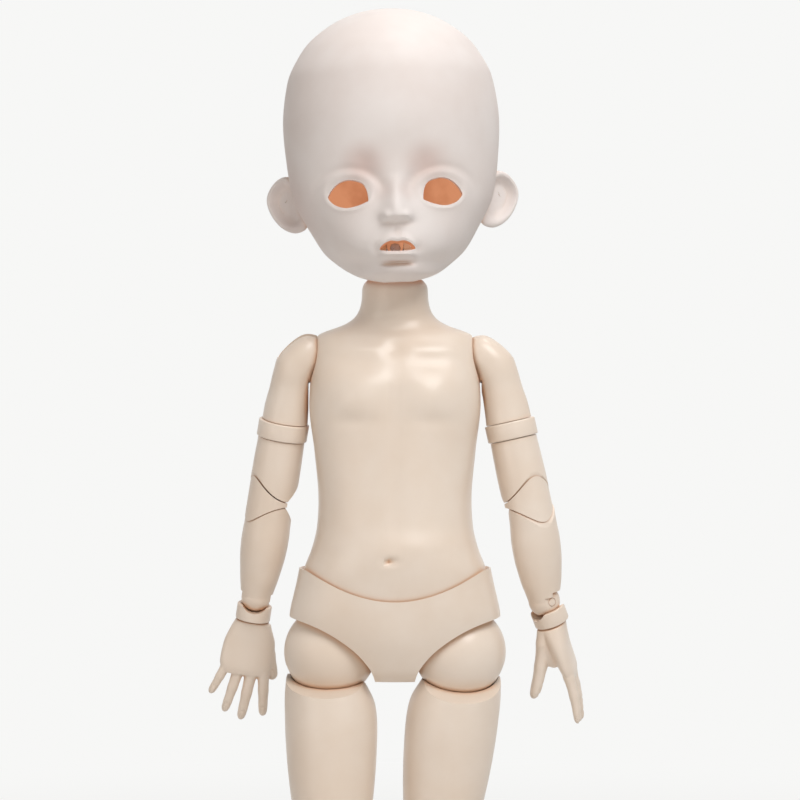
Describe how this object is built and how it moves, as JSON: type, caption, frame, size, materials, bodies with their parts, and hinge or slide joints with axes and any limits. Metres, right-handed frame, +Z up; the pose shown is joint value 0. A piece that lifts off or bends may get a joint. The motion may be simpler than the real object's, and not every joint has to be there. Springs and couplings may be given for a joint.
{
  "type": "ball jointed doll",
  "caption": "Bald, undressed ball jointed doll standing on flat feet, with a large hollow head, open eye holes, pinned elbows, wrists and knees, a turning arm ring and round hip balls.",
  "frame": {"origin": "middle of the footprint, on the ground under the soles", "axes": "+Z up along the body, the doll faces -Y, and its own left side is at +X"},
  "size_m": [0.0968, 0.07, 0.3],
  "materials": {
    "body_plastic": "satin cream skin tone",
    "head_vinyl": "matte, paler and pinker than the body",
    "nylon": "plain inner parts",
    "steel": "plain pins and magnets"
  },
  "bodies": {
    "pelvis": {"pelvis": "body_plastic", "hip_axle": "steel"},
    "waist_stem": {"waist_stem": "nylon"},
    "waist_cross": {"waist_cross": "steel"},
    "torso": {"torso_front": "body_plastic", "torso_back": "body_plastic", "waist_frame": "nylon"},
    "neck_post": {"neck_post": "nylon"},
    "neck_cross": {"neck_cross": "steel"},
    "head": {"face_shell": "head_vinyl", "head_socket": "nylon", "face_magnet_right": "steel", "face_magnet_left": "steel"},
    "head_cap": {"head_cap": "head_vinyl", "cap_magnet_right": "steel", "cap_magnet_left": "steel"},
    "right_shoulder_hub": {"right_shoulder_hub": "nylon"},
    "right_upper_arm": {"right_upper_arm": "body_plastic"},
    "right_mid_arm": {"right_arm_ring": "body_plastic", "right_mid_arm": "body_plastic"},
    "right_elbow_block": {"right_elbow_block": "body_plastic", "right_elbow_pin_upper": "steel", "right_elbow_pin_lower": "steel"},
    "right_forearm": {"right_forearm": "body_plastic"},
    "right_wrist_cuff": {"right_wrist_cuff": "body_plastic", "right_wrist_pin": "steel"},
    "right_hand": {"right_hand": "body_plastic"},
    "right_hip_ball": {"right_hip_ball": "body_plastic"},
    "right_hip_stem": {"right_hip_stem": "steel"},
    "right_thigh": {"right_thigh": "body_plastic"},
    "right_knee_block": {"right_knee_block": "body_plastic", "right_knee_pin_upper": "steel", "right_knee_pin_lower": "steel"},
    "right_shin": {"right_shin": "body_plastic"},
    "right_ankle_ball": {"right_ankle_ball": "body_plastic"},
    "right_foot": {"right_foot": "body_plastic"},
    "left_shoulder_hub": {"left_shoulder_hub": "nylon"},
    "left_upper_arm": {"left_upper_arm": "body_plastic"},
    "left_mid_arm": {"left_arm_ring": "body_plastic", "left_mid_arm": "body_plastic"},
    "left_elbow_block": {"left_elbow_block": "body_plastic", "left_elbow_pin_upper": "steel", "left_elbow_pin_lower": "steel"},
    "left_forearm": {"left_forearm": "body_plastic"},
    "left_wrist_cuff": {"left_wrist_cuff": "body_plastic", "left_wrist_pin": "steel"},
    "left_hand": {"left_hand": "body_plastic"},
    "left_hip_ball": {"left_hip_ball": "body_plastic"},
    "left_hip_stem": {"left_hip_stem": "steel"},
    "left_thigh": {"left_thigh": "body_plastic"},
    "left_knee_block": {"left_knee_block": "body_plastic", "left_knee_pin_upper": "steel", "left_knee_pin_lower": "steel"},
    "left_shin": {"left_shin": "body_plastic"},
    "left_ankle_ball": {"left_ankle_ball": "body_plastic"},
    "left_foot": {"left_foot": "body_plastic"}
  },
  "joints": [
    {"name": "waist_turn", "type": "hinge", "parent": "pelvis", "child": "waist_stem", "pos_m": [-0.00071, 0.00549, 0.1763], "axis": [0, 0, 1], "range_deg": [-25, 25]},
    {"name": "waist_bend", "type": "hinge", "parent": "waist_stem", "child": "waist_cross", "pos_m": [-0.00071, 0.00549, 0.1763], "axis": [1, 0, 0], "range_deg": [-10, 12]},
    {"name": "waist_lean", "type": "hinge", "parent": "waist_cross", "child": "torso", "pos_m": [-0.00071, 0.00549, 0.1763], "axis": [0, 1, 0], "range_deg": [-8, 8]},
    {"name": "neck_turn", "type": "hinge", "parent": "torso", "child": "neck_post", "pos_m": [-0.00071, 0.00549, 0.24], "axis": [0, 0, 1], "range_deg": [-80, 80]},
    {"name": "head_nod", "type": "hinge", "parent": "neck_post", "child": "neck_cross", "pos_m": [-0.00071, 0.00549, 0.24], "axis": [0.9997, 0.0244, 0], "range_deg": [-15, 10]},
    {"name": "head_tilt", "type": "hinge", "parent": "neck_cross", "child": "head", "pos_m": [-0.00071, 0.00549, 0.24], "axis": [-0.0244, 0.9997, 0], "range_deg": [-10, 10]},
    {"name": "cap_slide", "type": "slide", "parent": "head", "child": "head_cap", "axis": [-0.0244, 0.9997, 0], "range_m": [0, 0.06]},
    {"name": "right_shoulder_swing", "type": "hinge", "parent": "torso", "child": "right_shoulder_hub", "pos_m": [-0.02571, 0.00549, 0.21319], "axis": [-1, 0, 0], "range_deg": [-50, 150]},
    {"name": "right_arm_lift", "type": "hinge", "parent": "right_shoulder_hub", "child": "right_upper_arm", "pos_m": [-0.02571, 0.00549, 0.21319], "axis": [0, 0.9877, 0.1564], "range_deg": [0, 80]},
    {"name": "right_arm_twist", "type": "hinge", "parent": "right_upper_arm", "child": "right_mid_arm", "pos_m": [-0.03188, 0.0112, 0.17716], "axis": [0.1668, -0.1542, 0.9739], "range_deg": [-90, 90]},
    {"name": "right_elbow_upper", "type": "hinge", "parent": "right_mid_arm", "child": "right_elbow_block", "pos_m": [-0.02864, 0.01081, 0.18599], "axis": [0.493, -0.8423, -0.2178], "range_deg": [0, 35]},
    {"name": "right_elbow_lower", "type": "hinge", "parent": "right_elbow_block", "child": "right_forearm", "pos_m": [-0.03171, 0.01365, 0.16807], "axis": [0.493, -0.8423, -0.2178], "range_deg": [-0.5, 54.5]},
    {"name": "right_wrist_bend", "type": "hinge", "parent": "right_forearm", "child": "right_wrist_cuff", "pos_m": [-0.036, 0.01519, 0.1524], "axis": [0.9872, 0.0249, -0.1574], "range_deg": [-20, 50]},
    {"name": "right_hand_turn", "type": "hinge", "parent": "right_wrist_cuff", "child": "right_hand", "pos_m": [-0.03696, 0.01615, 0.14655], "axis": [0.1593, -0.1587, 0.9744], "range_deg": [-90, 90]},
    {"name": "right_hip_swing", "type": "hinge", "parent": "pelvis", "child": "right_hip_ball", "pos_m": [-0.01691, 0.00549, 0.1395], "axis": [-1, 0, 0], "range_deg": [-15, 38]},
    {"name": "right_hip_spread", "type": "hinge", "parent": "right_hip_ball", "child": "right_hip_stem", "pos_m": [-0.01691, 0.00549, 0.1395], "axis": [0, 0.9937, -0.1119], "range_deg": [0, 32]},
    {"name": "right_thigh_turn", "type": "hinge", "parent": "right_hip_stem", "child": "right_thigh", "pos_m": [-0.0157, -0.00228, 0.07044], "axis": [0.0175, -0.1118, -0.9936], "range_deg": [0, 40]},
    {"name": "right_knee_upper", "type": "hinge", "parent": "right_thigh", "child": "right_knee_block", "pos_m": [-0.01589, 0.00133, 0.0811], "axis": [0.9998, 0.002, 0.0173], "range_deg": [0, 50]},
    {"name": "right_knee_lower", "type": "hinge", "parent": "right_knee_block", "child": "right_shin", "pos_m": [-0.01551, -0.00113, 0.05924], "axis": [0.9998, 0.002, 0.0173], "range_deg": [0, 50]},
    {"name": "right_ankle_bend", "type": "hinge", "parent": "right_shin", "child": "right_ankle_ball", "pos_m": [-0.01473, -0.00852, 0.015], "axis": [0.9998, 0.002, 0.0173], "range_deg": [-20, 20]},
    {"name": "right_foot_tilt", "type": "hinge", "parent": "right_ankle_ball", "child": "right_foot", "pos_m": [-0.01473, -0.00852, 0.015], "axis": [-0.002, 1, 0], "range_deg": [-15, 15]},
    {"name": "left_shoulder_swing", "type": "hinge", "parent": "torso", "child": "left_shoulder_hub", "pos_m": [0.02429, 0.00549, 0.21319], "axis": [-1, 0, 0], "range_deg": [-50, 150]},
    {"name": "left_arm_lift", "type": "hinge", "parent": "left_shoulder_hub", "child": "left_upper_arm", "pos_m": [0.02429, 0.00549, 0.21319], "axis": [0, -1, 0], "range_deg": [0, 80]},
    {"name": "left_arm_twist", "type": "hinge", "parent": "left_upper_arm", "child": "left_mid_arm", "pos_m": [0.03229, 0.00549, 0.17707], "axis": [-0.2164, 0, 0.9763], "range_deg": [-90, 90]},
    {"name": "left_elbow_upper", "type": "hinge", "parent": "left_mid_arm", "child": "left_elbow_block", "pos_m": [0.02933, 0.00722, 0.18584], "axis": [0.8455, 0.5, 0.1874], "range_deg": [0, 35]},
    {"name": "left_elbow_lower", "type": "hinge", "parent": "left_elbow_block", "child": "left_forearm", "pos_m": [0.03331, 0.00722, 0.16787], "axis": [0.8455, 0.5, 0.1874], "range_deg": [-8, 47]},
    {"name": "left_wrist_bend", "type": "hinge", "parent": "left_forearm", "child": "left_wrist_cuff", "pos_m": [0.03671, 0.00746, 0.15191], "axis": [0.5135, -0.8576, -0.0287], "range_deg": [-24, 36]},
    {"name": "left_hand_turn", "type": "hinge", "parent": "left_wrist_cuff", "child": "left_hand", "pos_m": [0.03877, 0.00888, 0.14646], "axis": [-0.3438, -0.2363, 0.9088], "range_deg": [-90, 90]},
    {"name": "left_hip_swing", "type": "hinge", "parent": "pelvis", "child": "left_hip_ball", "pos_m": [0.01549, 0.00549, 0.1395], "axis": [-1, 0, 0], "range_deg": [-15, 38]},
    {"name": "left_hip_spread", "type": "hinge", "parent": "left_hip_ball", "child": "left_hip_stem", "pos_m": [0.01549, 0.00549, 0.1395], "axis": [0, -1, 0], "range_deg": [0, 32]},
    {"name": "left_thigh_turn", "type": "hinge", "parent": "left_hip_stem", "child": "left_thigh", "pos_m": [0.00762, 0.00549, 0.07044], "axis": [0.1132, 0, 0.9936], "range_deg": [0, 40]},
    {"name": "left_knee_upper", "type": "hinge", "parent": "left_thigh", "child": "left_knee_block", "pos_m": [0.00886, 0.00789, 0.08137], "axis": [0.9936, 0, -0.1132], "range_deg": [0, 50]},
    {"name": "left_knee_lower", "type": "hinge", "parent": "left_knee_block", "child": "left_shin", "pos_m": [0.00637, 0.00789, 0.05951], "axis": [0.9936, 0, -0.1132], "range_deg": [0, 50]},
    {"name": "left_ankle_bend", "type": "hinge", "parent": "left_shin", "child": "left_ankle_ball", "pos_m": [0.0013, 0.00549, 0.015], "axis": [0.9936, 0, -0.1132], "range_deg": [-20, 20]},
    {"name": "left_foot_tilt", "type": "hinge", "parent": "left_ankle_ball", "child": "left_foot", "pos_m": [0.0013, 0.00549, 0.015], "axis": [0, 1, 0], "range_deg": [-15, 15]}
  ]
}
